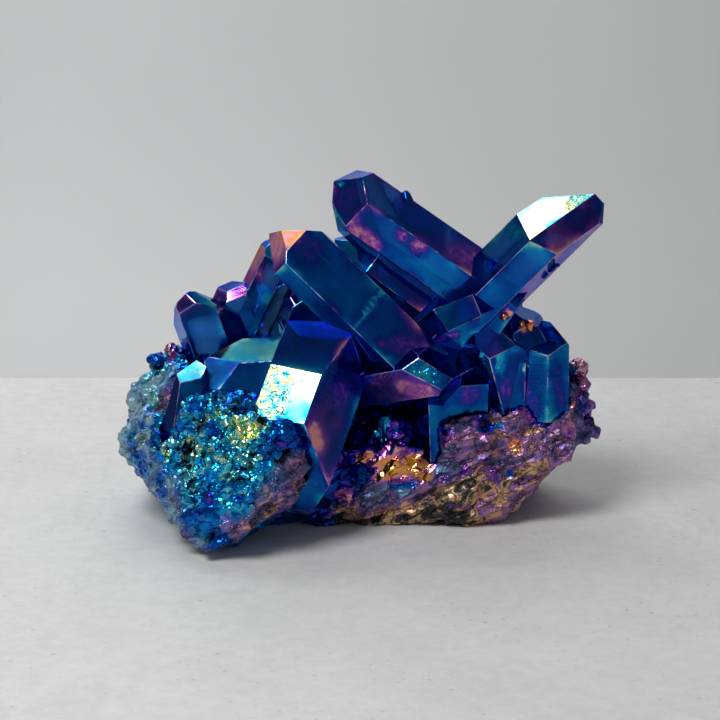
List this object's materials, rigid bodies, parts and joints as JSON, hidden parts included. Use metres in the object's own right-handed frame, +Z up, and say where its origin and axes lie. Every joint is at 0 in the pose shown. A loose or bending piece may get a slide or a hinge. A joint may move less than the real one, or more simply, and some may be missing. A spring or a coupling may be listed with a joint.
{
  "type": "aura quartz cluster",
  "caption": "Cluster of coated quartz points that stand out at different angles from a rough rock matrix sawn flat underneath.",
  "frame": {"origin": "centre of the bounding box in plan, on the flat base", "axes": "+Z up from the sawn base, +X along the longest extent towards the right-hand point, -Y towards the viewer"},
  "size_m": [0.0981, 0.072, 0.0707],
  "materials": {
    "crystal": "polished natural faces with a metallic blue and violet film",
    "rock": "rough druzy rock with the same film"
  },
  "bodies": {
    "root": {"crystal_cluster": "crystal", "matrix": "rock"}
  },
  "joints": []
}
